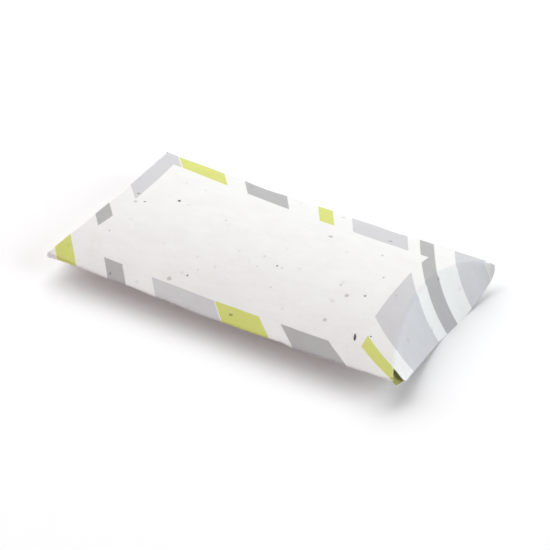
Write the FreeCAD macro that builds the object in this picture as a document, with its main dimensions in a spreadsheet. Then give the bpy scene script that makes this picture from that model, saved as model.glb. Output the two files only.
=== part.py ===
import FreeCAD, Part
import os
import Sketcher

# Pillow box: one sheet of stiff seed paper, folded along two long edges and four curved scores.
# Frame: +X along the long edges, +Z up, origin under the middle of the strip it rests on.
# Sketches are drawn about the plane of the long edges, and each body is lifted by the belly's depth.

doc = FreeCAD.newDocument("pillow_box")

# Driving dimensions, in millimetres
SIZES = {
    # Sleeve
    "corner_length": 134.0,
    "box_width": 75.4,
    "crown": 9.4,
    "belly": 9.2,
    "rest_width": 16.0,
    "card": 0.5,
    "fold_half": 0.45,
    "fold_bulge": 0.25,
    # Curved scores, where the ends fold
    "crease_depth": 8.4,
    "score_width": 0.8,
    "score_depth": 0.15,
    "hinge_gap": 0.3,
    # Outer flaps, hinged on the top
    "ear_reach": 3.6,
    "foot_reach": 1.1,
    "foot_clearance": 0.6,
    # Inner flaps, hinged on the bottom
    "inner_clearance": 3.5,
    "inner_lean": 2.5,
    # Glued seam
    "tab_width": 11.0,
    "tab_inset": 6.0,
    "tab_taper": 6.0,
    "glue_film": 0.1,
    "glue_play": 0.01,
    "glue_margin": 2.0,
    # Overrun of every cut
    "overrun": 5.0,
}

# Places along half the width where the flaps are drawn, and how much of the ear is left there
OUTER_STATION_SHARES = (0.0, 0.2, 0.4, 0.6, 0.76, 0.87, 0.94, 0.985)
OUTER_EAR_SHARES = (1.0, 1.0, 1.0, 1.0, 1.0, 1.0, 0.96, 0.6)
INNER_STATION_SHARES = (0.0, 0.11, 0.22, 0.35, 0.5, 0.65, 0.77)

sheet = doc.addObject("Spreadsheet::Sheet", "Sizes")
for row, (alias, value) in enumerate(SIZES.items(), start=1):
    sheet.set(f"A{row}", alias)
    sheet.set(f"B{row}", str(value))
    sheet.setAlias(f"B{row}", alias)
doc.recompute()


# Arcs, written as expressions

def arc_radius(run, bulge):
    """Radius of an arc that rises by bulge over half a chord of length run."""
    return f"(({run})^2 + ({bulge})^2) / (2 * ({bulge}))"


def arc_rise(radius, bulge, run):
    """Height above the chord, at a distance run from the middle."""
    return f"(sqrt(({radius})^2 - ({run})^2) - ({radius}) + ({bulge}))"


def arc_run(radius, bulge, rise):
    """Distance from the middle where the arc stands at a height above its chord."""
    return f"sqrt(({radius})^2 - (({radius}) - ({bulge}) + ({rise}))^2)"


CARD = "Sizes.card"
HALF_LENGTH = "(Sizes.corner_length / 2)"
HALF_WIDTH = "(Sizes.box_width / 2)"
HALF_REST = "(Sizes.rest_width / 2)"
FOLD = "Sizes.fold_half"
CROWN_RADIUS = f"({arc_radius(HALF_WIDTH, 'Sizes.crown')})"
BELLY_RADIUS = f"({arc_radius(f'{HALF_WIDTH} - {HALF_REST}', 'Sizes.belly')})"
CREASE_RADIUS = f"({arc_radius(HALF_WIDTH, 'Sizes.crease_depth')})"


def crown_run(depth):
    """Half width of the top at the fold, on a face that lies depth under its outer one."""
    return arc_run(f"{CROWN_RADIUS} - {depth}", f"Sizes.crown - {depth}", FOLD)


def belly_run(depth):
    """Half width of the bottom at the fold, on a face that lies depth inside its outer one."""
    return f"({HALF_REST} + {arc_run(f'{BELLY_RADIUS} - {depth}', f'Sizes.belly - {depth}', FOLD)})"


def belly_fall(depth, place):
    """Depth of such a face below the long edges, at a distance from the middle line."""
    run = f"({place} - {HALF_REST})"
    return arc_rise(f"{BELLY_RADIUS} - {depth}", f"Sizes.belly - {depth}", run)


def crease_line(place, setback="0"):
    """How far out the curved score lies, at a distance from the middle line."""
    inset = arc_rise(CREASE_RADIUS, "Sizes.crease_depth", place)
    return f"({HALF_LENGTH} - {inset} - {setback})"


# Sketches and features

def new_body(label):
    body = doc.addObject("PartDesign::Body", label)
    body.Label = label
    body.setExpression("Placement.Base.z", "Sizes.belly")
    return body


def new_sketch(body, name, plane):
    sketch = body.newObject("Sketcher::SketchObject", name)
    support = next(item for item in body.Origin.OriginFeatures if item.Role == plane)
    sketch.AttachmentSupport = [(support, "")]
    sketch.MapMode = "FlatFace"
    return sketch


def through(start, end, radius, side):
    """Arc between two points, turning counter-clockwise, with its centre on the left (1) or right (-1)."""
    chord = end - start
    reach = (radius ** 2 - chord.Length ** 2 / 4) ** 0.5
    across = FreeCAD.Vector(-chord.y, chord.x, 0).normalize()
    centre = (start + end) / 2 + across * reach * side
    first, last = (start, end) if side > 0 else (end, start)
    x_axis = FreeCAD.Vector(1, 0, 0)
    angles = []
    for point in (first, last):
        ray = point - centre
        turn = x_axis.getAngle(ray)
        angles.append(turn if ray.y >= 0 else -turn)
    circle = Part.Circle(centre, FreeCAD.Vector(0, 0, 1), radius)
    return Part.ArcOfCircle(circle, angles[0], angles[1])


def outline(sketch, corners, arcs=None):
    """Closed outline. Corners are pairs of expressions. Arcs give, for the corner that they
    start from, a radius and the side of their centre."""
    arcs = arcs or {}
    places = []
    for across, up in corners:
        places.append(FreeCAD.Vector(sketch.evalExpression(across), sketch.evalExpression(up), 0))
    first = sketch.GeometryCount
    count = len(corners)
    ends = []
    for index in range(count):
        start, end = places[index], places[(index + 1) % count]
        if index in arcs:
            radius, side = arcs[index]
            sketch.addGeometry(through(start, end, sketch.evalExpression(radius), side), False)
            ends.append((1, 2) if side > 0 else (2, 1))
        else:
            sketch.addGeometry(Part.LineSegment(start, end), False)
            ends.append((1, 2))
    for index in range(count):
        after = (index + 1) % count
        joint = (first + index, ends[index][1], first + after, ends[after][0])
        sketch.addConstraint(Sketcher.Constraint("Coincident", *joint))
    for index, corner in enumerate(corners):
        for kind, expression, value in zip(("DistanceX", "DistanceY"), corner, places[index]):
            at = (first + index, ends[index][0])
            number = sketch.addConstraint(Sketcher.Constraint(kind, -1, 1, *at, value))
            sketch.setExpression(f"Constraints[{number}]", expression)
    for index, (radius, side) in arcs.items():
        value = sketch.evalExpression(radius)
        number = sketch.addConstraint(Sketcher.Constraint("Radius", first + index, value))
        sketch.setExpression(f"Constraints[{number}]", radius)


def pad_along(body, sketch, length):
    pad = body.newObject("PartDesign::Pad", "Pad")
    pad.Profile = sketch
    pad.Midplane = True
    pad.setExpression("Length", length)
    doc.recompute()
    return pad


def cut_through(body, sketch):
    """Cut an outline right through, on both sides of its plane, and make sure that it cut."""
    before = body.Shape.Volume
    pocket = body.newObject("PartDesign::Pocket", "Pocket")
    pocket.Profile = sketch
    pocket.Type = "ThroughAll"
    pocket.Midplane = True
    doc.recompute()
    if not body.Shape.Volume < before:
        raise RuntimeError(f"{body.Label}: the cut removed nothing")
    return pocket


def end_cut(sketch, side, setback):
    """Everything beyond the curved score of one end, set back towards the middle."""
    tip = f"{side} * ({crease_line(HALF_WIDTH, setback)})"
    beyond = f"{side} * ({HALF_LENGTH} + Sizes.overrun)"
    corners = [
        (tip, f"-{HALF_WIDTH}"),
        (beyond, f"-{HALF_WIDTH}"),
        (beyond, HALF_WIDTH),
        (tip, HALF_WIDTH),
    ]
    outline(sketch, corners, {3: (CREASE_RADIUS, side)})


# Sections of the sleeve, seen along its length

def top_section(sketch, depth):
    outer = crown_run(depth)
    inner = crown_run(CARD)
    corners = [(f"-{outer}", FOLD), (outer, FOLD), (inner, FOLD), (f"-{inner}", FOLD)]
    arcs = {0: (f"{CROWN_RADIUS} - {depth}", -1), 2: (f"{CROWN_RADIUS} - {CARD}", 1)}
    outline(sketch, corners, arcs)


def bottom_section(sketch, depth):
    outer = belly_run(depth)
    inner = belly_run(CARD)
    under = f"-(Sizes.belly - {depth})"
    over = f"-(Sizes.belly - {CARD})"
    corners = [
        (f"-{outer}", f"-{FOLD}"),
        (f"-{HALF_REST}", under),
        (HALF_REST, under),
        (outer, f"-{FOLD}"),
        (inner, f"-{FOLD}"),
        (HALF_REST, over),
        (f"-{HALF_REST}", over),
        (f"-{inner}", f"-{FOLD}"),
    ]
    outer_arc = (f"{BELLY_RADIUS} - {depth}", 1)
    inner_arc = (f"{BELLY_RADIUS} - {CARD}", -1)
    outline(sketch, corners, {0: outer_arc, 2: outer_arc, 4: inner_arc, 6: inner_arc})


def panel(label, section):
    """Wall of the sleeve, padded along its length, with both ends cut short of their scores."""
    body = new_body(label)
    wall = new_sketch(body, "Section", "YZ_Plane")
    section(wall, "0")
    pad_along(body, wall, "Sizes.corner_length")
    for side in (-1, 1):
        ends = new_sketch(body, "End", "XY_Plane")
        end_cut(ends, side, "Sizes.score_width")
        cut_through(body, ends)
    return body


def crease(label, section):
    """Scored strip at the right end of a panel, pressed thinner than the paper."""
    body = new_body(label)
    wall = new_sketch(body, "Section", "YZ_Plane")
    section(wall, "Sizes.score_depth")
    pad_along(body, wall, "Sizes.corner_length")
    end = new_sketch(body, "End", "XY_Plane")
    end_cut(end, 1, "0")
    cut_through(body, end)
    rest = new_sketch(body, "Panel", "XY_Plane")
    tip = crease_line(HALF_WIDTH, "Sizes.score_width")
    beyond = f"-({HALF_LENGTH} + Sizes.overrun)"
    corners = [
        (tip, HALF_WIDTH),
        (beyond, HALF_WIDTH),
        (beyond, f"-{HALF_WIDTH}"),
        (tip, f"-{HALF_WIDTH}"),
    ]
    outline(rest, corners, {3: (CREASE_RADIUS, -1)})
    cut_through(body, rest)
    return body


def long_edge(label, side, inner_bottom):
    """Rounded fold along a long edge, between the cut faces of the top and the bottom."""
    body = new_body(label)
    nose = new_sketch(body, "Nose", "YZ_Plane")
    corners = [
        (f"{side} * {crown_run('0')}", FOLD),
        (f"{side} * {crown_run(CARD)}", FOLD),
        (f"{side} * {inner_bottom}", f"-{FOLD}"),
        (f"{side} * {belly_run('0')}", f"-{FOLD}"),
    ]
    lap = f"({belly_run('0')} - {crown_run('0')})"
    half_chord = f"sqrt({FOLD}^2 + {lap}^2 / 4)"
    outline(nose, corners, {3: (arc_radius(half_chord, "Sizes.fold_bulge"), side)})
    pad_along(body, nose, "Sizes.corner_length")
    for end in (-1, 1):
        ends = new_sketch(body, "End", "XY_Plane")
        end_cut(ends, end, "0")
        cut_through(body, ends)
    return body


# Seam inside the far long edge

TAB_FACE = f"({CARD} + Sizes.glue_film)"
TAB_BACK = f"(2 * {CARD} + Sizes.glue_film)"
TAB_END = f"({HALF_WIDTH} - Sizes.tab_width)"
TAB_LENGTH = "(Sizes.corner_length - 2 * Sizes.tab_inset)"


def belly_strip(body, outer, inner, far_edges, near_edge, length):
    """Strip that follows the bottom's curve between two depths, from its near edge to its far one."""
    strip = new_sketch(body, "Strip", "YZ_Plane")
    far_outer, far_inner = far_edges
    corners = [
        (near_edge, f"-{belly_fall(outer, near_edge)}"),
        (far_outer, f"-{belly_fall(outer, far_outer)}"),
        (far_inner, f"-{belly_fall(inner, far_inner)}"),
        (near_edge, f"-{belly_fall(inner, near_edge)}"),
    ]
    arcs = {0: (f"{BELLY_RADIUS} - {outer}", 1), 2: (f"{BELLY_RADIUS} - {inner}", -1)}
    outline(strip, corners, arcs)
    pad_along(body, strip, length)


def glue_tab():
    """Tab that turns in from the top at the seam, with its two ends cut at a slant."""
    body = new_body("glue_tab")
    fold_edges = (belly_run(TAB_FACE), belly_run(TAB_BACK))
    belly_strip(body, TAB_FACE, TAB_BACK, fold_edges, TAB_END, TAB_LENGTH)
    for side in (-1, 1):
        slant = new_sketch(body, "Slant", "XY_Plane")
        corners = [
            (f"{side} * {TAB_LENGTH} / 2", HALF_WIDTH),
            (f"{side} * ({TAB_LENGTH} / 2 - Sizes.tab_taper)", TAB_END),
            (f"{side} * ({TAB_LENGTH} / 2 + Sizes.overrun)", TAB_END),
            (f"{side} * ({TAB_LENGTH} / 2 + Sizes.overrun)", HALF_WIDTH),
        ]
        outline(slant, corners)
        cut_through(body, slant)
    return body


def glue_line():
    """Film of adhesive between the tab and the bottom."""
    body = new_body("glue_line")
    outer = f"({CARD} + Sizes.glue_play)"
    inner = f"({TAB_FACE} - Sizes.glue_play)"
    far_edge = f"({belly_run(CARD)} - Sizes.glue_margin)"
    near_edge = f"({TAB_END} + Sizes.glue_margin)"
    length = f"{TAB_LENGTH} - 2 * (Sizes.tab_taper + Sizes.glue_margin)"
    belly_strip(body, outer, inner, (far_edge, far_edge), near_edge, length)
    return body


# End flaps of the right end, drawn at stations across the width

def crown_share(place):
    return f"({arc_rise(CROWN_RADIUS, 'Sizes.crown', place)} / Sizes.crown)"


def loft_across(label, station_shares, section):
    body = new_body(label)
    shares = [-share for share in station_shares[:0:-1]] + list(station_shares)
    profiles = []
    for share in shares:
        place = f"({HALF_WIDTH} * {abs(share)})"
        profile = new_sketch(body, "Station", "XZ_Plane")
        offset = f"-({HALF_WIDTH} * {share})"
        profile.setExpression("AttachmentOffset.Base.z", offset)
        outline(profile, section(place, abs(share)))
        profiles.append(profile)
    loft = body.newObject("PartDesign::AdditiveLoft", "Loft")
    loft.Profile = profiles[0]
    loft.Sections = profiles[1:]
    doc.recompute()
    return body


def outer_flap_section(place, share):
    """Paper from the top's score down and out to the free edge, which ends in an ear."""
    ear_share = OUTER_EAR_SHARES[OUTER_STATION_SHARES.index(share)]
    level = crown_share(place)
    start_x = f"({crease_line(place)} + Sizes.hinge_gap)"
    start_z = f"(Sizes.crown * {level})"
    ear = f"Sizes.ear_reach * (1 - {level}) * {ear_share}"
    end_x = f"({HALF_LENGTH} + Sizes.foot_reach * {level} + {ear})"
    end_z = f"(-(Sizes.belly - Sizes.foot_clearance) * {level})"
    run = f"({end_x} - {start_x})"
    fall = f"({start_z} - {end_z})"
    slope = f"sqrt({run}^2 + {fall}^2)"
    return [
        (start_x, start_z),
        (end_x, end_z),
        (f"{end_x} - {CARD} * {fall} / {slope}", f"{end_z} - {CARD} * {run} / {slope}"),
        (start_x, f"{start_z} - {CARD} * {slope} / {run}"),
    ]


def inner_flap_section(place, share):
    """Paper from the bottom's score up behind the outer flap, clear of the top."""
    beyond_rest = f"max({place}; {HALF_REST})"
    start_x = f"({crease_line(place)} + Sizes.hinge_gap)"
    start_z = f"(Sizes.score_depth - {belly_fall('0', beyond_rest)})"
    end_z = f"(Sizes.crown * {crown_share(place)} - {CARD} - Sizes.inner_clearance)"
    end_x = f"({start_x} - Sizes.inner_lean * {crown_share(place)})"
    return [
        (start_x, start_z),
        (f"{start_x} + {CARD}", start_z),
        (f"{end_x} + {CARD}", end_z),
        (end_x, end_z),
    ]


def mirrored(label, source):
    copy = doc.addObject("Part::Mirroring", label)
    copy.Label = label
    copy.Source = source
    copy.Normal = FreeCAD.Vector(1, 0, 0)
    return copy


# Pieces

pieces = [
    panel("top_panel", top_section),
    panel("bottom_panel", bottom_section),
    long_edge("fold_edge", -1, belly_run(CARD)),
    long_edge("seam_edge", 1, belly_run(TAB_BACK)),
    glue_tab(),
    glue_line(),
]
right_end = [
    crease("right_outer_crease", top_section),
    crease("right_inner_crease", bottom_section),
    loft_across("right_outer_flap", OUTER_STATION_SHARES, outer_flap_section),
    loft_across("right_inner_flap", INNER_STATION_SHARES, inner_flap_section),
]
left_end = [mirrored(piece.Label.replace("right", "left"), piece) for piece in right_end]
pieces += right_end + left_end
doc.recompute()

for item in doc.Objects:
    if "Invalid" in item.State or "Error" in item.State:
        raise RuntimeError(f"{item.Label} failed: {item.State}")
for piece in pieces:
    if piece.Shape.isNull() or not piece.Shape.isValid():
        raise RuntimeError(f"{piece.Label} has no valid shape")

os.makedirs("parts", exist_ok=True)
for piece in pieces:
    piece.Shape.exportStep(f"parts/{piece.Label}.step")
    box = piece.Shape.BoundBox
    print(f"{piece.Label}: {piece.Shape.Volume:.2f} mm3, {len(piece.Shape.Solids)} solid, "
          f"x {box.XMin:.2f} {box.XMax:.2f}, y {box.YMin:.2f} {box.YMax:.2f}, z {box.ZMin:.2f} {box.ZMax:.2f}")
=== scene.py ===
import math
from functools import partial

import bpy
import numpy as np
from bpy.props import FloatProperty, FloatVectorProperty, PointerProperty
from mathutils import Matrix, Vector


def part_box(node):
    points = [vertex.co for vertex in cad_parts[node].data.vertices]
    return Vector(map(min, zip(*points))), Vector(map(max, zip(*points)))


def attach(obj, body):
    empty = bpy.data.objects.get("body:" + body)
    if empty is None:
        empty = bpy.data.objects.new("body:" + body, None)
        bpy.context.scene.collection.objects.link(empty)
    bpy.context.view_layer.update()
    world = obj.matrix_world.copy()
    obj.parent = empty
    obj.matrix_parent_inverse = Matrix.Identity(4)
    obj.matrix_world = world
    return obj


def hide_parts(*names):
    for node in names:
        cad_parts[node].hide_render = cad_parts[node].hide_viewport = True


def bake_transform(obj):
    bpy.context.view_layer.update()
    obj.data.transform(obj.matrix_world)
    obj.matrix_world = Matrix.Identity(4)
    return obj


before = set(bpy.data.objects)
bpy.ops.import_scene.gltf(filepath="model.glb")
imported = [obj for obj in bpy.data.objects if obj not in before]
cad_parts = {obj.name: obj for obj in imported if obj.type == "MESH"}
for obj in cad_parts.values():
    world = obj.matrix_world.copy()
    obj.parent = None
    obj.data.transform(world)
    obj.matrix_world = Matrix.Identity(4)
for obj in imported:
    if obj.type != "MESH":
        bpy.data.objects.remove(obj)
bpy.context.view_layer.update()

bl_info = {
    "name": "Pillow Box",
    "version": (1, 0, 0),
    "blender": (4, 5, 0),
    "location": "View3D > Sidebar > Pillow Box",
    "description": "Dresses the packed frame of a pillow box in printed seed paper",
    "category": "Mesh",
}

MM = 0.001
SIDES = {"right": 1, "left": -1}


# Sizes and colours that a user would change

def number_of(name, description, default, unit="NONE", **options):
    return FloatProperty(name=name, description=description, default=default, unit=unit, **options)


def length_of(name, description, millimetres):
    return number_of(name, description, millimetres * MM, "LENGTH", precision=5)


def colour_of(name, description, default):
    return FloatVectorProperty(name=name, description=description, default=default, size=3,
                               subtype="COLOR", min=0.0, max=1.0)


def angle_of(name, description, degrees):
    return number_of(name, description, math.radians(degrees), "ROTATION", subtype="ANGLE")


class PaperSizes(bpy.types.PropertyGroup):
    """The sheet and how it is folded."""

    thickness: length_of("Thickness", "Thickness of the paper", 0.5)
    fold_reach: length_of("Fold reach", "How far the top runs on before it turns round a long edge", 1.0)
    fold_return: length_of("Fold return", "How far the turn reaches back towards the bottom", 0.05)
    rest_width: length_of("Rest width", "Width of the flat strip that the box rests on", 16.0)
    seam_gap: length_of("Seam gap", "Gap along the cut edge that is glued over the tab", 0.15)
    tab_taper: length_of("Tab taper", "How much shorter each end of the tab is at its free edge", 5.0)
    glue_film: length_of("Glue film", "Thickness of the glue under the tab", 0.1)
    near_sag: length_of("Near sag", "How far the near long edge hangs down at its middle", 0.6)
    far_sag: length_of("Far sag", "How far the far long edge hangs down at its middle", 0.35)
    near_right_lift: length_of("Near right lift", "How far this corner is bent up", 1.2)
    near_left_lift: length_of("Near left lift", "How far this corner is bent up", 0.9)
    far_left_lift: length_of("Far left lift", "How far this corner is bent up", 2.1)
    near_right_push: length_of("Near right push", "How far this corner stands to the right", 1.0)
    far_left_push: length_of("Far left push", "How far this corner stands to the right", 1.1)
    left_reach: length_of("Left reach", "How far the left score lies further out than the right one", 1.35)
    near_left_gape: length_of("Near left gape", "How far the fold gapes at this corner", 2.0)
    edge_wave: length_of("Edge wave", "Height of the small waves along the long edges", 0.2)
    dent: length_of("Dent", "Depth of the small dents in the near edge", 0.5)
    ripple: length_of("Ripple", "Height of the soft ripples in the upper wall", 0.12)
    score_width: length_of("Score width", "Width of a pressed score", 0.8)
    score_depth: length_of("Score depth", "How deep a score is pressed into the paper", 0.15)
    score_lap: length_of("Score lap", "How far a score's bend reaches onto its flap", 1.6)


class FlapSizes(bpy.types.PropertyGroup):
    """The end flaps."""

    right_ears: length_of("Right ears", "How far the ears stand out past the right corners", 3.6)
    left_ears: length_of("Left ears", "How far the ears stand out past the left corners", 0.2)
    ear_droop: length_of("Ear droop", "How far the ears hang down", 0.8)
    thickness: length_of("Thickness", "Thickness of the outer flaps", 0.3)
    tongue_end: number_of("Tongue end", "Share of the half width where the right flap is cut", 0.868)
    tongue_root: number_of("Tongue root", "Share of the half width where that cut meets the score", 0.882)
    tongue_round: length_of("Tongue round", "Radius of that end's rounded corner", 1.4)
    bow: length_of("Bow", "How far an outer flap is hollowed between its score and its free edge", 0.85)
    foot_reach: length_of("Foot reach", "How far the free edge stands out past the corners", 1.1)
    foot_clearance: length_of("Foot clearance", "Gap under the middle of the free edge", 0.6)
    spring: length_of("Spring", "How far the far half of the right flap springs out", 1.35)
    drop: length_of("Drop", "How far the far half of the right flap reaches down", 2.3)
    near_rise: length_of("Near rise", "How far the near half of the right flap is drawn up", 1.1)
    inner_clearance: length_of("Inner clearance", "Gap between an inner flap and the top", 3.5)
    inner_lean: length_of("Inner lean", "How far an inner flap leans into the box", 2.5)
    inner_share: number_of("Inner share", "Share of the width that an inner flap takes up", 0.77)
    corner_share: number_of("Corner share", "Share of an inner flap's height that its corners round off", 0.3)


class PrintLook(bpy.types.PropertyGroup):
    """The inks, the paper's colour, the painted shade on the tucked ear and along the far fold, and the
    stripes and the white field as they lie on the blank.
    """

    paper: colour_of("Paper", "Colour of the bare paper", (0.88, 0.875, 0.86))
    lime: colour_of("Lime", "Ink of the lime stripes", (0.685, 0.715, 0.205))
    grey: colour_of("Grey", "Ink of the grey stripes", (0.48, 0.475, 0.475))
    pale_grey: colour_of("Pale grey", "Ink of the pale grey stripes", (0.645, 0.64, 0.655))
    # The ear's ink is the lime print darkened with painted shade, for the shade under the right flap's
    # rounded end
    ear: colour_of("Ear", "Ink of the ear that is tucked under the right flap's near end", (0.40, 0.40, 0.13))
    lean: length_of("Lean", "How far the stripes lean from the middle to a long edge", 28.4)
    twist: length_of("Twist", "How much more they lean at the right end than in the middle", -5.7)
    bow: length_of("Bow", "How far both ends of a stripe bend the same way", -5.3)
    fan: length_of("Fan", "How much more they bend at the right end", -4.3)
    spread: length_of("Spread", "How much more they lean at both ends than in the middle", 6.4)
    late_fan: length_of("Late fan", "How much of the fan comes close to the long edges", 3.6)
    late_spread: length_of("Late spread", "How much of the spread comes close to the long edges", -2.3)
    flap_fan: number_of("Flap fan", "How much the stripes draw together down a flap", 0.13)
    flap_slide: length_of("Flap slide", "How far the stripes have slid at the right flap's free edge", 0.55)
    tongue_white: number_of("Tongue white", "Share of the half width where the right flap's print ends", 0.85)
    clear_near: length_of("Clear near", "Near edge of the white field", -32.9)
    clear_far: length_of("Clear far", "Far edge of the white field", 21.35)
    clear_left: length_of("Clear left", "Left edge of the white field", -51.8)
    clear_corner: length_of("Clear corner", "How far left the white field reaches at its corners", -58.5)
    clear_right: length_of("Clear right", "Right edge of the white field", 51.9)
    clear_under: length_of("Clear under", "Where the print ends under the near edge", -39.5)
    # Painted shade: a darker line along the far fold
    fold_painted_shade: number_of("Painted fold shade", "How much darker the paper is along its far fold", 0.34)


class StageLook(bpy.types.PropertyGroup):
    """Floor, light and camera."""

    floor: colour_of("Floor", "Colour of the floor", (0.97, 0.967, 0.97))
    floor_glow: number_of("Floor glow", "Glow that only the camera sees, to whiten the floor", 0.025)
    sky: colour_of("Sky", "Colour of the light from all sides", (1.0, 0.92, 0.965))
    sky_strength: number_of("Sky strength", "Strength of the light from all sides", 0.067)
    key_power: number_of("Key power", "Power of the large lamp, in watts", 35.4, "POWER")
    cool_power: number_of("Cool power", "Power of the lamp on the right, in watts", 11.5, "POWER")
    warm_power: number_of("Warm power", "Power of the lamp in front, in watts", 2.1, "POWER")
    azimuth: angle_of("Azimuth", "Turn of the camera round the box", 30.36)
    elevation: angle_of("Elevation", "Height of the camera over the horizon", 36.47)
    distance: length_of("Distance", "Distance of the camera from the middle of the long edges", 550.0)
    lens: number_of("Lens", "Focal length of the camera, in millimetres", 103.0, "CAMERA")
    shift_x: number_of("Shift across", "Camera shift that places the box in the picture", 0.0146)
    shift_y: number_of("Shift up", "Camera shift that places the box in the picture", -0.0298)


# Stripes across the blank: where each starts and ends, in millimetres, and its ink
STRIPES = (
    (-101.5, -92.0, "lime"),
    (-76.9, -68.5, "grey"),
    (-55.4, -29.4, "pale_grey"),
    (-29.0, -12.4, "lime"),
    (-4.8, 11.0, "grey"),
    (22.7, 28.3, "lime"),
    (35.6, 56.8, "pale_grey"),
    (61.5, 67.0, "grey"),
    (75.0, 86.6, "pale_grey"),
)

# Large seeds in the upper wall: place on the blank, length and width in millimetres, turn in degrees, husk
SEEDS = (
    (48.9, -28.5, 3.0, 0.9, 113.0, "dark"),
    (-38.0, 3.2, 1.2, 1.0, 20.0, "dark"),
    (53.6, -26.4, 0.7, 0.5, 0.0, "dark"),
    (-41.5, -37.0, 1.3, 0.35, 105.0, "dark"),
    (44.3, -11.7, 1.4, 1.1, 50.0, "pale"),
    (45.5, -0.6, 0.9, 0.7, 10.0, "pale"),
    (-52.7, -0.3, 1.2, 0.8, 30.0, "pale"),
    (-48.1, -3.5, 1.1, 0.8, 30.0, "pale"),
    (-15.4, -27.7, 0.9, 0.7, 60.0, "pale"),
    (6.3, -35.6, 1.5, 0.8, 15.0, "pale"),
    (10.9, -11.8, 0.9, 0.8, 0.0, "pale"),
    (-51.0, -21.7, 0.8, 0.6, 0.0, "pale"),
)


# Form of the box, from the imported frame

def arc_radius(run, bulge):
    """Radius of an arc that rises by bulge over half a chord of length run."""
    return (run ** 2 + bulge ** 2) / (2 * bulge)


TOP_LOW, TOP_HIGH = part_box("top_panel")
BOTTOM_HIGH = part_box("bottom_panel")[1]
SCORE_LOW, SCORE_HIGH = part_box("right_outer_crease")
EDGE_LEVEL = (TOP_LOW.z + BOTTOM_HIGH.z) / 2
CROWN = TOP_HIGH.z - EDGE_LEVEL
CROWN_RADIUS = arc_radius(TOP_HIGH.y, TOP_HIGH.z - TOP_LOW.z)
HALF_WIDTH = math.sqrt(CROWN_RADIUS ** 2 - (CROWN_RADIUS - CROWN) ** 2)
CROWN_ARC = CROWN_RADIUS * math.asin(TOP_HIGH.y / CROWN_RADIUS)
HALF_GIRTH = CROWN_RADIUS * math.asin(HALF_WIDTH / CROWN_RADIUS)
HALF_LENGTH = SCORE_HIGH.x

# A place on the blank that is never printed
BARE = -2 * HALF_GIRTH

# Points that the length round a long edge is measured on
NOSE_POINTS = 33

# Small dents in the near edge: place along the box and half width, in millimetres
DENTS = ((-18.0, 1.3), (27.0, 1.8), (46.0, 1.2))

# Waves along the long edges: radians from the middle to an end, start on the far edge, and height
EDGE_WAVES = ((9.0, 1.0, 1.0), (23.0, 0.0, 0.6))

# Ripples in the upper wall: radians per metre along and across the box, start, and height
RIPPLES = ((61.0, 40.0, 0.0, 1.0), (133.0, -71.0, 1.0, 0.7))

# Shares of the left reach that are lost at the corners, and how much more the far edge hangs on the right
NEAR_REACH_LOSS = 0.57
FAR_REACH_LOSS = 0.73
FAR_SAG_SKEW = 0.8


def between(value, start, end):
    """Share of the way from start to end, held at 0 before and at 1 after."""
    return np.clip((value - start) / (end - start), 0.0, 1.0)


def box_sizes():
    return bpy.context.scene.pillow_paper, bpy.context.scene.pillow_flaps


def crown_rise(y):
    """Height of the top over the long edges."""
    return np.sqrt(CROWN_RADIUS ** 2 - y ** 2) - CROWN_RADIUS + CROWN


def crease_reach(y):
    """How far out the curved score lies."""
    middle = SCORE_LOW.x + bpy.context.scene.pillow_paper.score_width
    radius = arc_radius(SCORE_HIGH.y, SCORE_HIGH.x - middle)
    return middle + radius - np.sqrt(radius ** 2 - np.minimum(np.abs(y), HALF_WIDTH) ** 2)


def belly_level(y, inset=0.0):
    """Height over the floor of the bottom's outer face, or of a face that lies inside it."""
    half_rest = bpy.context.scene.pillow_paper.rest_width / 2
    radius = arc_radius(BOTTOM_HIGH.y - half_rest, BOTTOM_HIGH.z)
    fall = np.sqrt(radius ** 2 - np.maximum(np.abs(y) - half_rest, 0.0) ** 2)
    return radius - fall + inset * radius / fall


def curve(points, at):
    """Place on a curve that points steer, at a share of the way along it."""
    order = len(points) - 1
    weights = [math.comb(order, step) * at ** step * (1 - at) ** (order - step) for step in range(order + 1)]
    return [sum(weight * point[axis] for weight, point in zip(weights, points)) for axis in (0, 1)]


def arch(share):
    """Rises from 0 at both ends to 1 in the middle."""
    return 4 * share * (1 - share)


def nose(share):
    """Outer face of a long edge, from the top's border at 0 to the bottom's at 1, and its length."""
    paper = bpy.context.scene.pillow_paper
    upper = np.array([TOP_HIGH.y, TOP_LOW.z])
    lower = np.array([BOTTOM_HIGH.y, BOTTOM_HIGH.z])
    fall = TOP_HIGH.y / CROWN_RADIUS
    ahead = upper + paper.fold_reach * np.array([math.sqrt(1 - fall ** 2), -fall])
    points = (upper, ahead, lower + paper.fold_return, lower)
    steps = np.diff(curve(points, np.linspace(0.0, 1.0, NOSE_POINTS)))
    out, level = curve(points, share)
    return out, level, np.hypot(*steps).sum()


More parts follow.
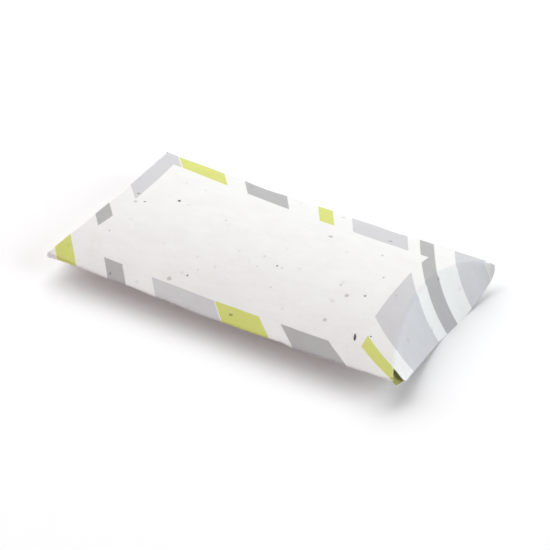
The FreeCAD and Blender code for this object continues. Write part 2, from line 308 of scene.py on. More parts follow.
def sagged(x, y, z):
    """Bends and pushes the corners, gapes the fold at one and lets the long edges hang in small waves. Powers
    set how close to a corner or an edge each of them stays."""
    paper = bpy.context.scene.pillow_paper
    side = np.abs(y) / HALF_WIDTH
    along = np.clip(x / HALF_LENGTH, -1.0, 1.0)
    right, near = x > 0, y < 0
    bent = along ** 2 * side ** 1.4
    lift = np.where(near, np.where(right, paper.near_right_lift, paper.near_left_lift),
                    np.where(right, 0.0, paper.far_left_lift))
    left_out = np.where(right, 0.0, paper.left_reach) * along ** 4
    left_out = left_out * (1 - np.where(near, NEAR_REACH_LOSS * side ** 8, FAR_REACH_LOSS * side ** 2))
    push = np.where(near & right, paper.near_right_push, np.where(near | right, 0.0, paper.far_left_push))
    hang = np.where(near, paper.near_sag, paper.far_sag * (1 + FAR_SAG_SKEW * along))
    hang = hang * (1 - along ** 2) * side ** 3
    wave = sum(height * np.sin(along * turn + start * np.sign(y)) for turn, start, height in EDGE_WAVES)
    fade = np.maximum(1 - along ** 4, 0.0) * side ** 6
    dents = sum(np.exp(-((x / MM - place) / width) ** 2) for place, width in DENTS)
    lower = between(z, TOP_LOW.z, BOTTOM_HIGH.z)
    gape = np.where(near & ~right, paper.near_left_gape, 0.0) * along ** 10 * side ** 16 * lower
    level = z + lift * bent - hang + paper.edge_wave * wave * fade - gape
    return x + push * bent - left_out, y, level + np.where(near, paper.dent, 0.0) * dents * side ** 12


# Meshes

# Columns and rows of the sheets' grids
WALL_GRID = (110, 72)
FOLD_GRID = (110, 10)
OUTER_SCORE_GRID = (8, 320)
INNER_SCORE_GRID = (8, 64)
EAR_GRID = (12, 12)
INNER_FLAP_GRID = (18, 30)
SEAM_GRID = (90, 8)

# Columns of an outer flap's strips, rows of all together and the least in one
FLAP_COLUMNS = 20
FLAP_ROWS = 80
LEAST_ROWS = 8

# Faces that meet at less than this are shaded as one
SMOOTH_ANGLE = math.radians(35.0)


def sheet(name, grid, lay, flip=False):
    """Flat sheet of paper, added as a grid and laid on its curved face. lay takes two arrays of shares
    from 0 to 1 and gives points, places on the print and places on the paper."""
    bpy.ops.mesh.primitive_grid_add(x_subdivisions=grid[0], y_subdivisions=grid[1], size=2.0)
    piece = bpy.context.object
    piece.name = name
    mesh = piece.data
    mesh.name = name
    corners = np.empty(len(mesh.vertices) * 3)
    mesh.vertices.foreach_get("co", corners)
    shares = corners.reshape(-1, 3)[:, :2] / 2 + 0.5
    points, printed, grain = lay(shares[:, 0], shares[:, 1])
    mesh.vertices.foreach_set("co", np.stack(points, -1).ravel())
    loops = np.empty(len(mesh.loops), dtype=np.int32)
    mesh.loops.foreach_get("vertex_index", loops)
    mesh.uv_layers[0].name = "print"
    mesh.uv_layers.new(name="grain")
    for layer, places in (("print", printed), ("grain", grain)):
        mesh.uv_layers[layer].data.foreach_set("uv", np.stack(places, -1)[loops].ravel())
    if flip:
        bpy.ops.object.mode_set(mode="EDIT")
        bpy.ops.mesh.select_all(action="SELECT")
        bpy.ops.mesh.flip_normals()
        bpy.ops.object.mode_set(mode="OBJECT")
    mesh.update()
    return piece


def thicken(piece, thickness, folded=False):
    """Gives a sheet its thickness on the inner side. The inside is plain paper, and the borders are cut paper
    unless the sheet only folds there."""
    for material in papers():
        piece.data.materials.append(material)
    solid = piece.modifiers.new("Thickness", "SOLIDIFY")
    solid.thickness = thickness
    solid.offset = -1.0
    solid.use_even_offset = True
    solid.material_offset = 1
    solid.material_offset_rim = 0 if folded else 2
    bpy.ops.object.modifier_apply(modifier=solid.name)
    bpy.ops.object.shade_smooth_by_angle(angle=SMOOTH_ANGLE)


def put_on_sleeve(piece, node):
    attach(piece, "sleeve")
    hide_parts(node)


# Materials

# How glossy all of them are, and the depth and strength of the paper's relief
GLOSS = 0.3
RELIEF_DEPTH = 0.15 * MM
RELIEF_STRENGTH = 0.6

# Shade of the cut edges, colour of the painted shade along the far fold, and how far that shade reaches over
# the top
CUT_SHADE = 0.92
FOLD_PAINTED_SHADE = (0.42, 0.4, 0.39, 1.0)
PAINTED_SHADE_REACH = 0.1 * MM

# White field, in millimetres on the blank: where its far and near edges start to rise to the left, the slope
# and the most, how its left edge bends out to its corners, and how its right edge slants and steps out
FAR_RISE = (10.0, 0.1, 6.0)
NEAR_RISE = (-30.0, 0.08, 0.6)
LEFT_BEND = -0.006
LEFT_NEAR_BEND = -0.003
RIGHT_SLANT = 0.035
RIGHT_STEP = 1.5
RIGHT_STEP_START = -24.0

# Noises in the paper: cells per metre, detail, stretch along, across and up, and height in the relief
NOISES = {
    "pulp": (1400.0, 3.0, (1.0, 1.0, 1.0), 0.25),
    "fibre": (170.0, 6.0, (0.7, 1.7, 1.0), 0.7),
    "mottle": (90.0, 5.0, (1.0, 1.0, 1.0), 0.5),
    "cockle": (420.0, 3.0, (1.0, 1.0, 1.0), 1.1),
}

# Roughness of the paper: its range over the least. Tints with their places, and the mottle's share in them
ROUGHNESS = (0.16, 0.76)
TINTS = ((0.3, (0.955, 0.945, 0.935)), (0.62, (1.0, 1.0, 1.0)))
MOTTLE_SHARE = 0.55

# Specks of two sizes: cells per metre, reach in cells, share of the cells that hold one, and how dark they
# are, the range and the least
FINE_SPECKS = (230.0, 0.17, 0.4, 0.34, 0.1)
COARSE_SPECKS = (120.0, 0.10, 0.5, 0.36, 0.12)

# The least speck and a speck's soft border as shares of the reach, height in the relief, tones with their
# places, and the noise that pushes specks out of round and how far
LEAST_SPECK = 0.4
SPECK_BORDER = 0.5
SPECK_HEIGHT = 0.35
SPECK_TONES = ((0.0, (0.16, 0.12, 0.10)), (0.55, (0.20, 0.22, 0.13)), (1.0, (0.22, 0.11, 0.09)))
SPECK_NOISE = (900.0, 2.0)
SPECK_PUSH = 1.1 * MM

# Streaks in the husks and in the glue: cells per metre and two tones, and how rough the husks are
HUSK_CELLS = 1500.0
HUSK_ROUGHNESS = 0.6
HUSKS = {
    "dark": ((0.05, 0.035, 0.03), (0.2, 0.16, 0.13)),
    "pale": ((0.24, 0.22, 0.19), (0.5, 0.47, 0.42)),
}
GLUE_CELLS = 400.0
GLUE_TONES = ((0.72, 0.69, 0.58), (0.86, 0.84, 0.76))


def fill(tree, node, inputs):
    """Links a node's inputs to the values that vary, and sets the others."""
    for key, value in inputs.items():
        if isinstance(value, bpy.types.NodeSocket):
            tree.links.new(value, node.inputs[key])
        else:
            node.inputs[key].default_value = value
    return node


def add_node(tree, kind, **inputs):
    return fill(tree, tree.nodes.new(f"ShaderNode{kind}"), inputs)


def math_node(tree, operation, *values):
    node = add_node(tree, "Math")
    node.operation = operation
    return fill(tree, node, dict(enumerate(values))).outputs[0]


def mix_colours(tree, blend, factor, first, second):
    node = add_node(tree, "Mix")
    node.data_type = "RGBA"
    node.blend_type = blend
    places = [place for place, socket in enumerate(node.inputs) if socket.type == "RGBA"]
    fill(tree, node, {0: factor, places[0]: first, places[1]: second})
    return next(socket for socket in node.outputs if socket.type == "RGBA")


def ramp(tree, value, stops):
    """Colour ramp through stops, each of a place and a colour."""
    node = add_node(tree, "ValToRGB", Fac=value)
    elements = node.color_ramp.elements
    for place, _ in stops[1:-1]:
        elements.new(place)
    for element, (place, colour) in zip(elements, stops):
        element.position = place
        element.color = (*colour, 1.0)
    return node.outputs["Color"]


def uv_place(tree, uv_map):
    node = add_node(tree, "UVMap")
    node.uv_map = uv_map
    return node.outputs["UV"]


def new_group(name, outputs):
    """Node group that takes a place. Gives its tree, that place and its end."""
    tree = bpy.data.node_groups.new(name, "ShaderNodeTree")
    tree.interface.new_socket(name="Place", in_out="INPUT", socket_type="NodeSocketVector")
    for output, kind in outputs.items():
        tree.interface.new_socket(name=output, in_out="OUTPUT", socket_type=f"NodeSocket{kind}")
    start = tree.nodes.new("NodeGroupInput")
    return tree, start.outputs["Place"], tree.nodes.new("NodeGroupOutput")


def add_group(tree, group, place):
    node = add_node(tree, "Group")
    node.node_tree = group
    return fill(tree, node, {"Place": place}).outputs


def stripe_group():
    """Ink of the printed stripes, where there is any, and where the far fold gets painted shade."""
    name = "printed_stripes"
    if name in bpy.data.node_groups:
        return bpy.data.node_groups[name]
    look = bpy.context.scene.pillow_print
    tree, place, end = new_group(name, {"Ink": "Color", "Cover": "Float", "Fold": "Float"})
    calc = partial(math_node, tree)
    parts = add_node(tree, "SeparateXYZ", Vector=place).outputs
    u = calc("DIVIDE", parts["X"], MM)
    v = calc("DIVIDE", parts["Y"], MM)

    # Shares of the half length and of the half girth
    s = calc("DIVIDE", parts["X"], HALF_LENGTH)
    t = calc("DIVIDE", parts["Y"], HALF_GIRTH)
    st = calc("MULTIPLY", s, t)
    stt = calc("MULTIPLY", st, t)
    slants = {"lean": t, "twist": st, "bow": calc("MULTIPLY", t, t), "fan": stt,
              "spread": calc("MULTIPLY", st, s), "late_fan": calc("MULTIPLY", stt, t),
              "late_spread": calc("MULTIPLY", stt, s)}
    across = u
    for slant, term in slants.items():
        across = calc("MULTIPLY_ADD", term, getattr(look, slant) / MM, across)

    masks = {}
    for low, high, ink in STRIPES:
        stripe = calc("COMPARE", across, (low + high) / 2, (high - low) / 2)
        masks[ink] = calc("ADD", masks[ink], stripe) if ink in masks else stripe
    colour = (*look.pale_grey, 1.0)
    for ink in ("grey", "lime"):
        colour = mix_colours(tree, "MIX", masks[ink], colour, (*getattr(look, ink), 1.0))
    striped = calc("ADD", masks["pale_grey"], calc("ADD", masks["grey"], masks["lime"]))

    def rising(edge, begin, slope, most):
        past = calc("MAXIMUM", calc("SUBTRACT", begin, u), 0.0)
        return calc("ADD", calc("MINIMUM", calc("MULTIPLY", past, slope), most), edge / MM)

    far_edge = rising(look.clear_far, *FAR_RISE)
    near_edge = rising(look.clear_near, *NEAR_RISE)
    near_half = calc("MINIMUM", v, 0.0)
    left_edge = calc("MULTIPLY_ADD", calc("MULTIPLY", v, v), LEFT_BEND, look.clear_left / MM)
    left_edge = calc("MULTIPLY_ADD", calc("MULTIPLY", near_half, near_half), LEFT_NEAR_BEND, left_edge)
    left_edge = calc("MAXIMUM", left_edge, look.clear_corner / MM)
    right_edge = calc("MULTIPLY_ADD", near_half, RIGHT_SLANT, look.clear_right / MM)
    right_edge = calc("MULTIPLY_ADD", calc("LESS_THAN", v, RIGHT_STEP_START), RIGHT_STEP, right_edge)
    field = calc("GREATER_THAN", v, near_edge)
    for test in (calc("LESS_THAN", v, far_edge), calc("GREATER_THAN", u, left_edge),
                 calc("LESS_THAN", u, right_edge)):
        field = calc("MULTIPLY", field, test)
    cover = calc("MULTIPLY", striped, calc("SUBTRACT", 1.0, field))
    cover = calc("MULTIPLY", cover, calc("GREATER_THAN", v, look.clear_under / MM))
    # Where the painted shade along the far fold lies
    fold = calc("GREATER_THAN", parts["Y"], CROWN_ARC - PAINTED_SHADE_REACH)
    fill(tree, end, {"Ink": colour, "Cover": cover, "Fold": fold})
    return tree


def speck_layer(tree, place, cells, reach, chance, darkness, least):
    """Specks in the pulp, at most one in a cell: where they are, how dark, and a random value for each."""
    calc = partial(math_node, tree)
    cell = add_node(tree, "TexVoronoi", Vector=place, Scale=cells).outputs
    parts = add_node(tree, "SeparateColor", Color=cell["Color"]).outputs
    size = calc("MULTIPLY_ADD", parts["Green"], reach, LEAST_SPECK * reach)
    depth = calc("DIVIDE", calc("SUBTRACT", size, cell["Distance"]), SPECK_BORDER * reach)
    mask = add_node(tree, "Clamp", Value=depth).outputs[0]
    mask = calc("MULTIPLY", mask, calc("LESS_THAN", parts["Red"], chance))
    return mask, calc("MULTIPLY", mask, calc("MULTIPLY_ADD", parts["Blue"], darkness, least)), parts["Blue"]


def seed_paper_group():
    """Tint, specks and relief of paper pressed from pulp with seeds in it."""
    name = "seed_paper"
    if name in bpy.data.node_groups:
        return bpy.data.node_groups[name]
    tree, place, end = new_group(name, {"Tint": "Color", "Speck": "Float", "Speck Colour": "Color",
                                        "Height": "Float", "Roughness": "Float"})
    calc = partial(math_node, tree)

    def noise(cells, detail, stretch=(1.0, 1.0, 1.0)):
        stretched = add_node(tree, "Mapping", Vector=place, Scale=stretch).outputs["Vector"]
        return add_node(tree, "TexNoise", Vector=stretched, Scale=cells, Detail=detail).outputs

    warp = add_node(tree, "VectorMath")
    warp.operation = "MULTIPLY_ADD"
    fill(tree, warp, {0: noise(*SPECK_NOISE)["Color"], 1: (SPECK_PUSH, SPECK_PUSH, 0.0), 2: place})
    _, fine, _ = speck_layer(tree, warp.outputs[0], *FINE_SPECKS)
    mask, coarse, chosen = speck_layer(tree, warp.outputs[0], *COARSE_SPECKS)

    grain = {}
    height = calc("MULTIPLY", mask, SPECK_HEIGHT)
    for kind, (cells, detail, stretch, amount) in NOISES.items():
        grain[kind] = noise(cells, detail, stretch)["Fac"]
        height = calc("MULTIPLY_ADD", grain[kind], amount, height)
    mottled = calc("MULTIPLY", grain["mottle"], MOTTLE_SHARE)
    tone = calc("MULTIPLY_ADD", grain["fibre"], 1 - MOTTLE_SHARE, mottled)
    fill(tree, end, {"Tint": ramp(tree, tone, TINTS), "Speck": calc("MAXIMUM", fine, coarse),
                     "Speck Colour": ramp(tree, chosen, SPECK_TONES), "Height": height,
                     "Roughness": calc("MULTIPLY_ADD", grain["pulp"], *ROUGHNESS)})
    return tree


def new_material(name):
    material = bpy.data.materials.new(name)
    material.use_nodes = True
    shader = material.node_tree.nodes["Principled BSDF"]
    shader.inputs["Specular IOR Level"].default_value = GLOSS
    return material, material.node_tree, shader


def paper_material(name, colour, printed=False, uv_map="grain"):
    """Seed paper, printed where asked. Its grain lies in a UV map, or without one in Object space."""
    if name in bpy.data.materials:
        return bpy.data.materials[name]
    material, tree, shader = new_material(name)
    place = uv_place(tree, uv_map) if uv_map else add_node(tree, "TexCoord").outputs["Object"]
    pulp = add_group(tree, seed_paper_group(), place)
    base = (*colour, 1.0)
    if printed:
        stripes = add_group(tree, stripe_group(), uv_place(tree, "print"))
        base = mix_colours(tree, "MIX", stripes["Cover"], base, stripes["Ink"])
        # Painted shade: the far fold is darkened towards a grey
        painted_fold_shade = math_node(tree, "MULTIPLY", stripes["Fold"], bpy.context.scene.pillow_print.fold_painted_shade)
        base = mix_colours(tree, "MIX", painted_fold_shade, base, FOLD_PAINTED_SHADE)
    tinted = mix_colours(tree, "MULTIPLY", 1.0, base, pulp["Tint"])
    speckled = mix_colours(tree, "MIX", pulp["Speck"], tinted, pulp["Speck Colour"])
    bump = add_node(tree, "Bump", Strength=RELIEF_STRENGTH, Distance=RELIEF_DEPTH, Height=pulp["Height"])
    fill(tree, shader, {"Base Color": speckled, "Roughness": pulp["Roughness"],
                        "Normal": bump.outputs["Normal"]})
    return material


def papers():
    """Printed paper, plain paper and its cut edge."""
    look = bpy.context.scene.pillow_print
    return (paper_material("printed_seed_paper", look.paper, printed=True),
            paper_material("plain_seed_paper", look.paper),
            paper_material("cut_paper_edge", [CUT_SHADE * part for part in look.paper], uv_map=None))


def streaked_material(name, cells, dark, pale, roughness=None):
    """Material that is streaked between two tones, and as rough as its streaks unless told otherwise."""
    material, tree, shader = new_material(name)
    place = add_node(tree, "TexCoord").outputs["Object"]
    streak = add_node(tree, "TexNoise", Vector=place, Scale=cells).outputs["Fac"]
    tone = ramp(tree, streak, ((0.0, dark), (1.0, pale)))
    fill(tree, shader, {"Base Color": tone, "Roughness": roughness or streak})
    return material


# Operators

class PILLOWBOX_OT_sleeve(bpy.types.Operator):
    """Folds the sleeve: the upper and lower walls and the two long edges"""

    bl_idname = "pillow_box.sleeve"
    bl_label = "Sleeve"

    def execute(self, context):
        paper = context.scene.pillow_paper
        nose_length = nose(np.zeros(1))[2]

        def upper(along, across):
            v = (2 * across - 1) * CROWN_ARC
            y = CROWN_RADIUS * np.sin(v / CROWN_RADIUS)
            ends = 2 * along - 1
            x = ends * (crease_reach(y) - paper.score_width)
            fade = np.maximum((1 - (y / TOP_HIGH.y) ** 4) * (1 - ends ** 6), 0.0)
            soft = sum(height * np.sin(turn * x + cross * y + start)
                       for turn, cross, start, height in RIPPLES)
            z = EDGE_LEVEL + crown_rise(y) + paper.ripple * soft * fade
            return sagged(x, y, z), (x, v), (x, v)

        def long_edge(side):
            def lay(along, across):
                share = 1 - across if side < 0 else across
                out, level, _ = nose(share)
                y = side * out
                x = (2 * along - 1) * crease_reach(y)
                v = side * (CROWN_ARC + share * nose_length)
                return sagged(x, y, level), (x, v), (x, v)
            return lay

        def lower(along, across):
            share = 1 - 2 * across
            y = share * np.where(share > 0, BOTTOM_HIGH.y - paper.seam_gap, BOTTOM_HIGH.y)
            x = (2 * along - 1) * (crease_reach(y) - paper.score_width)
            v = -(CROWN_ARC + nose_length + y + BOTTOM_HIGH.y)
            return sagged(x, y, belly_level(y)), (x, v), (x, v)

        for name, grid, lay, node in (
                ("top_wall", WALL_GRID, upper, "top_panel"),
                ("near_fold", FOLD_GRID, long_edge(-1), "fold_edge"),
                ("far_fold", FOLD_GRID, long_edge(1), "seam_edge"),
                ("bottom_wall", WALL_GRID, lower, "bottom_panel")):
            piece = sheet(name, grid, lay)
            thicken(piece, paper.thickness, folded=node != "bottom_panel")
            put_on_sleeve(piece, node)
        return {"FINISHED"}


# Shares of the half width on an outer flap: where its ears start to round off, where its far ear starts to be
# raised and where it is fully so, where its far half has sprung out, and where its near half is drawn up
EAR_ROUND_START = 0.87
RAISED_START = 0.8
RAISED_END = 0.985
SPRING_END = 0.7
RISE_END = 0.65

# Least gap under the free edge, as a share of the gap under its middle
LEAST_GAP = 0.2

# Most of a flap's line that the bend of its score takes up, how much of that is lost where the right flap is
# cut, and over what share of the half width
LAP_MOST = 0.5
CUT_LOSS = 0.95
CUT_FADE = 0.006

# Shares of a score's width from its bend to where it is pressed deepest and to where the hollow starts
DEEPEST = 0.5
HOLLOW_START = 0.75

# How far the bend of an inner score reaches out and down
INNER_LAP = (0.3 * MM, -0.24 * MM)


def flap_ends(y, side):
    """Where an outer flap's straight lines start on the score and end at the free edge."""
    _, flaps = box_sizes()
    place = y / HALF_WIDTH
    level = crown_rise(y) / CROWN
    tip = between(np.abs(place), EAR_ROUND_START, 1.0)
    rounding = (1 - tip ** 3) ** 0.4
    start = np.stack([crease_reach(y), y, EDGE_LEVEL + CROWN * level])
    reach = (flaps.right_ears if side > 0 else flaps.left_ears) * (1 - level) * rounding
    foot = EDGE_LEVEL - (EDGE_LEVEL - flaps.foot_clearance) * level
    if side > 0:
        raised = between(place, RAISED_START, RAISED_END) ** 2
        far = 1 - (1 - between(place, 0.0, SPRING_END)) ** 2
        near = between(-place, 0.0, RISE_END)
        reach = reach + flaps.spring * far
        drop = flaps.ear_droop * (1 - level) ** 2 + flaps.drop * far
        foot = foot - drop * (1 - raised) + flaps.near_rise * near * level
    foot = np.maximum(foot, LEAST_GAP * flaps.foot_clearance)
    end = np.stack([HALF_LENGTH + flaps.foot_reach * level + reach, y, foot])
    return start, end


def lap_share(run, y, side):
    """Share of a flap's lines that its score's bend takes up, next to none where the right flap is cut."""
    paper, flaps = box_sizes()
    share = np.minimum(paper.score_lap / np.linalg.norm(run, axis=0), LAP_MOST)
    past_cut = between(-y / HALF_WIDTH, flaps.tongue_root, flaps.tongue_root + CUT_FADE)
    return share * (1 - CUT_LOSS * past_cut * (side > 0))


def flap_print(y, share, side):
    """Place on the print of a point on an outer flap, at a share of the way down from its score."""
    look = bpy.context.scene.pillow_print
    fan = look.flap_fan * share * (1 - between(-y, 0.0, HALF_WIDTH) ** 4)
    white_end = look.tongue_white if side > 0 else 1.0
    printed_y = np.clip(y * (1 + fan), -white_end * HALF_WIDTH, HALF_WIDTH)
    printed_x = side * crease_reach(printed_y) - look.flap_slide * share * (side > 0)
    return printed_x, CROWN_RADIUS * np.arcsin(printed_y / CROWN_RADIUS)


def score_path(start, lap, across):
    """Section of a score, from the flat wall over a pressed hollow and round onto the flap."""
    paper, _ = box_sizes()
    wall = np.array([-paper.score_width, 0.0])
    pressed = DEEPEST * wall - np.array([0.0, paper.score_depth])
    x, z = curve((wall, HOLLOW_START * wall, pressed, np.zeros(2), lap), across)
    return start[0] + x, start[1] + z


class PILLOWBOX_OT_scores(bpy.types.Operator):
    """Presses the four curved scores that the end flaps fold on"""

    bl_idname = "pillow_box.scores"
    bl_label = "Scores"

    def execute(self, context):
        paper = context.scene.pillow_paper
        for end, side in SIDES.items():
            def outer(across, along):
                y = (2 * along - 1) * SCORE_HIGH.y
                start, foot = flap_ends(y, side)
                run = foot - start
                share = lap_share(run, y, side)
                x, z = score_path(start[[0, 2]], run[[0, 2]] * share, across)
                v = CROWN_RADIUS * np.arcsin(y / CROWN_RADIUS)
                printed = np.where(x > start[0], flap_print(y, share * across ** 4, side), (side * x, v))
                return sagged(side * x, y, z), printed, (side * x, v)

            def inner(across, along):
                y = (2 * along - 1) * SCORE_HIGH.y
                start = np.stack([crease_reach(y), -belly_level(y)])
                x, z = score_path(start, INNER_LAP, across)
                return sagged(side * x, y, -z), (side * x, np.full_like(y, BARE)), (side * x, y)

            for kind, grid, lay in (("outer", OUTER_SCORE_GRID, outer), ("inner", INNER_SCORE_GRID, inner)):
                on_top = kind == "outer"
                piece = sheet(f"{end}_{kind}_score", grid, lay, flip=(side < 0) == on_top)
                thicken(piece, paper.thickness - paper.score_depth, folded=on_top)
                put_on_sleeve(piece, f"{end}_{kind}_crease")
        return {"FINISHED"}


# Shares of the half width where an outer flap's strips meet, and how far down it starts to bend there, in
# millimetres, and where it starts at the right flap's cut
FLAP_BORDERS = ((-0.985, 13.2), (-0.75, 9.2), (-0.5, 4.1), (-0.25, 1.4),
                (0.25, 1.4), (0.5, 4.1), (0.75, 9.2), (0.985, 13.2))
TONGUE_LAG = 11.2

# The ear under the right flap's near end: how far it starts from the score, how far its edge lies from that
# end's corner and from the box's corner, its hollow, and the shares of the half width it laps and ends at
EAR_START = np.array([-0.8, 0.0, -0.75]) * MM
EAR_UNDER = np.array([-1.0, 0.0, -0.9]) * MM
EAR_OUT = np.array([1.4, 1.5, -2.0]) * MM
EAR_HOLLOW = 0.5 * MM
EAR_OVERLAP = 0.05
EAR_END = 0.965


def tongue_cut(down):
    """Share of the half width that is cut from the right flap's near end, at its root and round corner."""
    _, flaps = box_sizes()
    start, foot = flap_ends(np.array([-flaps.tongue_end * HALF_WIDTH]), 1)
    round_share = flaps.tongue_round / np.linalg.norm(foot - start)
    back = between(down, 1 - round_share, 1.0)
    slant = (flaps.tongue_end - flaps.tongue_root) * (1 - down)
    return slant + flaps.tongue_round / HALF_WIDTH * (1 - np.sqrt(1 - back ** 2))


def ear_lay(down, along):
    """The ear that runs from the score's near end down behind the right flap's rounded end."""
    _, flaps = box_sizes()
    low, high = flaps.tongue_root - EAR_OVERLAP, EAR_END
    y = -(low + (high - low) * along) * HALF_WIDTH
    start = flap_ends(y, 1)[0] + EAR_START[:, None]
    _, foot = flap_ends(np.array([-(flaps.tongue_end - EAR_OVERLAP) * HALF_WIDTH]), 1)
    under = foot[:, 0] + EAR_UNDER
    out = np.array([HALF_LENGTH, -HALF_WIDTH, EDGE_LEVEL]) + EAR_OUT
    end = under[:, None] + (out - under)[:, None] * along
    hollow = EAR_HOLLOW * arch(down) * arch(along)
    x, ear_y, z = start + (end - start) * down
    return sagged(x - hollow, ear_y, z - hollow), (x, ear_y), (x, ear_y)


def put_on_flap(piece, body):
    """Bakes a strip's place into its mesh and hides the flap's part of the frame."""
    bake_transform(piece)
    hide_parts(body)


class PILLOWBOX_OT_outer_flaps(bpy.types.Operator):
    """Makes the two outer end flaps, in strips"""

    bl_idname = "pillow_box.outer_flaps"
    bl_label = "Outer flaps"

    def execute(self, context):
        _, flaps = box_sizes()
        for end, side in SIDES.items():
            body = f"{end}_outer_flap"
            start, foot = flap_ends(np.zeros(1), side)
            run = (foot - start)[:, 0]
            run[0] *= side
            borders = list(FLAP_BORDERS)
            if side > 0:
                borders[0] = (-flaps.tongue_end, TONGUE_LAG)
            for index, (low, high) in enumerate(zip(borders, borders[1:]), start=1):
                def lay(down, along):
                    cut = tongue_cut(down) if side > 0 and index == 1 else 0.0
                    y = (low[0] + cut + (high[0] - low[0] - cut) * along) * HALF_WIDTH
                    start, foot = flap_ends(y, side)
                    run = foot - start
                    length = np.linalg.norm(run, axis=0)
                    first = lap_share(run, y, side)
                    share = first + (1 - first) * down
                    hollow = flaps.bow * crown_rise(y) / CROWN * arch(down)
                    x = start[0] + run[0] * share + hollow * run[2] / length
                    z = start[2] + run[2] * share - hollow * run[0] / length
                    grain = (side * (start[0] + share * length), y)
                    return sagged(side * x, y, z), flap_print(y, share, side), grain

                rows = max(LEAST_ROWS, int(FLAP_ROWS * (high[0] - low[0]) / 2))
                piece = sheet(f"{body}_{index}", (FLAP_COLUMNS, rows), lay, flip=side < 0)
                thicken(piece, flaps.thickness)
                put_on_flap(piece, body)

        ear = sheet("near_right_ear", EAR_GRID, ear_lay, flip=True)
        thicken(ear, flaps.thickness, folded=True)
        # The ear gets the lime ink darkened with painted shade
        ear.data.materials[0] = paper_material("tucked_seed_paper", context.scene.pillow_print.ear)
        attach(ear, "sleeve")
        return {"FINISHED"}


# Share of an inner flap's half width where its corners start to round off
INNER_ROUND_START = 0.75


class PILLOWBOX_OT_inner_flaps(bpy.types.Operator):
    """Makes the two inner end flaps that tuck in behind the outer ones"""

    bl_idname = "pillow_box.inner_flaps"
    bl_label = "Inner flaps"

    def execute(self, context):
        paper, flaps = box_sizes()
        wide = flaps.inner_share
        for end, side in SIDES.items():
            body = f"{end}_inner_flap"
            for index, (low, high) in enumerate(((-wide, 0.0), (0.0, wide)), start=1):
                def lay(up, along):
                    y = (low + (high - low) * along) * HALF_WIDTH
                    level = crown_rise(y) / CROWN
                    foot = belly_level(y) + paper.score_depth
                    edge = np.abs(y) / (wide * HALF_WIDTH)
                    rounding = flaps.corner_share * between(edge, INNER_ROUND_START, 1.0) ** 3
                    head = EDGE_LEVEL + CROWN * level - paper.thickness - flaps.inner_clearance
                    head = head - rounding * (head - foot)
                    start = crease_reach(y) + paper.thickness
                    x = start - flaps.inner_lean * level * up
                    z = foot + (head - foot) * up
                    return sagged(side * x, y, z), (side * x, np.full_like(y, BARE)), (side * (start + z), y)

                piece = sheet(f"{body}_{index}", INNER_FLAP_GRID, lay, flip=side > 0)
                thicken(piece, paper.thickness)
                put_on_flap(piece, body)
        return {"FINISHED"}


# How much a seed narrows to both ends and to its front, its height as a share of its width, and subdivisions
SEED_TAPER = 0.3
SEED_POINT = 0.15
SEED_HEIGHT = 0.5
SEED_SUBDIVISIONS = 3


class PILLOWBOX_OT_seeds(bpy.types.Operator):
    """Presses the large seeds into the upper wall"""

    bl_idname = "pillow_box.seeds"
    bl_label = "Seeds"

    def execute(self, context):
        husks = {tone: streaked_material(f"{tone}_husk", HUSK_CELLS, *tones, HUSK_ROUGHNESS)
                 for tone, tones in HUSKS.items()}
        seeds = []
        for u, v, length, width, turn, tone in SEEDS:
            bpy.ops.mesh.primitive_ico_sphere_add(subdivisions=SEED_SUBDIVISIONS, radius=0.5)
            seed = bpy.context.object
            seed.data.materials.append(husks[tone])
            bend = v * MM / CROWN_RADIUS
            for vertex in seed.data.vertices:
                along = 2 * vertex.co.x
                broad = width * MM * (1 - SEED_TAPER * along ** 2 - SEED_POINT * along)
                vertex.co *= Vector((length * MM, broad, SEED_HEIGHT * broad))
            bpy.ops.object.mode_set(mode="EDIT")
            bpy.ops.mesh.select_all(action="SELECT")
            middle = (0.0, 0.0, 0.0)
            bpy.ops.transform.rotate(value=-math.radians(turn), orient_axis="Z", center_override=middle)
            bpy.ops.transform.rotate(value=bend, orient_axis="X", center_override=middle)
            y = CROWN_RADIUS * math.sin(bend)
            place = sagged(*np.array([u * MM, y, EDGE_LEVEL + crown_rise(y)]))
            bpy.ops.transform.translate(value=[float(axis) for axis in place])
            bpy.ops.object.mode_set(mode="OBJECT")
            seeds.append(seed)
        for seed in seeds:
            seed.select_set(True)
        context.view_layer.objects.active = seeds[0]
        bpy.ops.object.join()
        bpy.ops.object.shade_smooth()
        seeds[0].name = "seeds"
        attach(seeds[0], "sleeve")
        return {"FINISHED"}


# Share of the gap under the tab that the glue takes up
GLUE_SHARE = 0.9


class PILLOWBOX_OT_seam(bpy.types.Operator):
    """Lays the tab inside the bottom, with its film of glue"""

    bl_idname = "pillow_box.seam"
    bl_label = "Seam"

    def execute(self, context):
        paper = context.scene.pillow_paper
        glue = streaked_material("dry_glue", GLUE_CELLS, *GLUE_TONES)
        over_glue = paper.thickness + paper.glue_film
        film = GLUE_SHARE * paper.glue_film

        def strip(node, taper, inset):
            low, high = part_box(node)

            def lay(along, across):
                y = high.y + (low.y - high.y) * across
                x = (2 * along - 1) * (high.x - taper * across)
                return sagged(x, y, belly_level(y, inset)), (x, np.full_like(y, BARE)), (x, y)
            return lay

        for name, node, taper, inset, thickness, slot in (
                ("seam_tab", "glue_tab", paper.tab_taper, over_glue, paper.thickness, "tab_paper"),
                ("seam_glue", "glue_line", 0.0, paper.thickness, film, "adhesive")):
            piece = sheet(name, SEAM_GRID, strip(node, taper, inset))
            thicken(piece, thickness)
            if slot == "adhesive":
                piece.data.materials.clear()
                piece.data.materials.append(glue)
            put_on_sleeve(piece, node)
        return {"FINISHED"}


# Width of the floor in metres, its roughness, and how near the camera can see
FLOOR_WIDTH = 6.0
FLOOR_ROUGHNESS = 0.9
NEAREST = 0.01

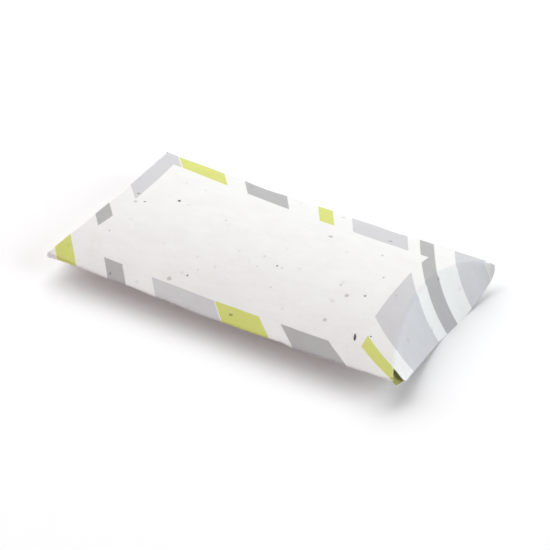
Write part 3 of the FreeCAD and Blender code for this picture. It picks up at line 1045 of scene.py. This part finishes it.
# Lamps: place and size in metres, and colour
LAMPS = {
    "key": ((-0.75, 0.45, 1.15), (3.0, 1.6), (1.0, 1.0, 1.0)),
    "cool": ((1.2, 0.2, 0.5), (0.9, 0.9), (0.9, 0.97, 1.0)),
    "warm": ((-0.3, -1.1, 0.4), (0.8, 0.8), (1.0, 0.7, 0.66)),
}


class PILLOWBOX_OT_stage(bpy.types.Operator):
    """Sets up the floor, the light and the camera"""

    bl_idname = "pillow_box.stage"
    bl_label = "Stage"

    def execute(self, context):
        scene = context.scene
        look = scene.pillow_stage
        scene.view_settings.view_transform = "Standard"

        bpy.ops.mesh.primitive_plane_add(size=FLOOR_WIDTH)
        floor = bpy.context.object
        floor.name = "floor"
        material, tree, shader = new_material("pale_floor")
        fill(tree, shader, {"Base Color": (*look.floor, 1.0), "Roughness": FLOOR_ROUGHNESS})
        seen = add_node(tree, "LightPath").outputs["Is Camera Ray"]
        glow = add_node(tree, "Emission", Strength=math_node(tree, "MULTIPLY", seen, look.floor_glow))
        both = add_node(tree, "AddShader")
        fill(tree, both, {0: shader.outputs["BSDF"], 1: glow.outputs["Emission"]})
        fill(tree, tree.nodes["Material Output"], {"Surface": both.outputs[0]})
        floor.data.materials.append(material)

        world = bpy.data.worlds.new("soft_sky")
        world.use_nodes = True
        tree = world.node_tree
        seen = add_node(tree, "LightPath").outputs["Is Camera Ray"]
        strength = math_node(tree, "MAXIMUM", seen, look.sky_strength)
        fill(tree, tree.nodes["Background"], {"Color": (*look.sky, 1.0), "Strength": strength})
        scene.world = world

        target = Vector((0.0, 0.0, EDGE_LEVEL))
        for name, (place, size, colour) in LAMPS.items():
            bpy.ops.object.light_add(type="AREA", location=place)
            lamp = bpy.context.object
            lamp.name = f"{name}_lamp"
            lamp.data.shape = "RECTANGLE"
            lamp.data.size, lamp.data.size_y = size
            lamp.data.energy = getattr(look, f"{name}_power")
            lamp.data.color = colour
            lamp.rotation_euler = (target - lamp.location).to_track_quat("-Z", "Y").to_euler()

        flat = math.cos(look.elevation)
        back = Vector((math.sin(look.azimuth) * flat, -math.cos(look.azimuth) * flat,
                       math.sin(look.elevation)))
        bpy.ops.object.camera_add(location=target + back * look.distance)
        camera = bpy.context.object
        camera.rotation_euler = back.to_track_quat("Z", "Y").to_euler()
        for name in ("lens", "shift_x", "shift_y"):
            setattr(camera.data, name, getattr(look, name))
        camera.data.clip_start = NEAREST
        scene.camera = camera
        return {"FINISHED"}


class PILLOWBOX_PT_sidebar(bpy.types.Panel):
    """Lists the sizes, colours and steps of the pillow box"""

    bl_idname = "PILLOWBOX_PT_sidebar"
    bl_label = "Pillow Box"
    bl_space_type = "VIEW_3D"
    bl_region_type = "UI"
    bl_category = "Pillow Box"

    def draw(self, context):
        for group in PROPERTY_GROUPS:
            settings = getattr(context.scene, group)
            for name in settings.__annotations__:
                self.layout.prop(settings, name)
        for step in STEPS:
            self.layout.operator(step.bl_idname)


PROPERTY_GROUPS = {
    "pillow_paper": PaperSizes,
    "pillow_flaps": FlapSizes,
    "pillow_print": PrintLook,
    "pillow_stage": StageLook,
}
STEPS = (
    PILLOWBOX_OT_sleeve,
    PILLOWBOX_OT_scores,
    PILLOWBOX_OT_outer_flaps,
    PILLOWBOX_OT_inner_flaps,
    PILLOWBOX_OT_seeds,
    PILLOWBOX_OT_seam,
    PILLOWBOX_OT_stage,
)


def register():
    for kind in (*PROPERTY_GROUPS.values(), *STEPS, PILLOWBOX_PT_sidebar):
        bpy.utils.register_class(kind)
    for name, kind in PROPERTY_GROUPS.items():
        setattr(bpy.types.Scene, name, PointerProperty(type=kind))


def unregister():
    for name in PROPERTY_GROUPS:
        delattr(bpy.types.Scene, name)
    for kind in (PILLOWBOX_PT_sidebar, *STEPS, *PROPERTY_GROUPS.values()):
        bpy.utils.unregister_class(kind)


def main():
    register()
    bpy.ops.pillow_box.sleeve()
    bpy.ops.pillow_box.scores()
    bpy.ops.pillow_box.outer_flaps()
    bpy.ops.pillow_box.inner_flaps()
    bpy.ops.pillow_box.seeds()
    bpy.ops.pillow_box.seam()
    bpy.ops.pillow_box.stage()


if __name__ == "__main__":
    main()
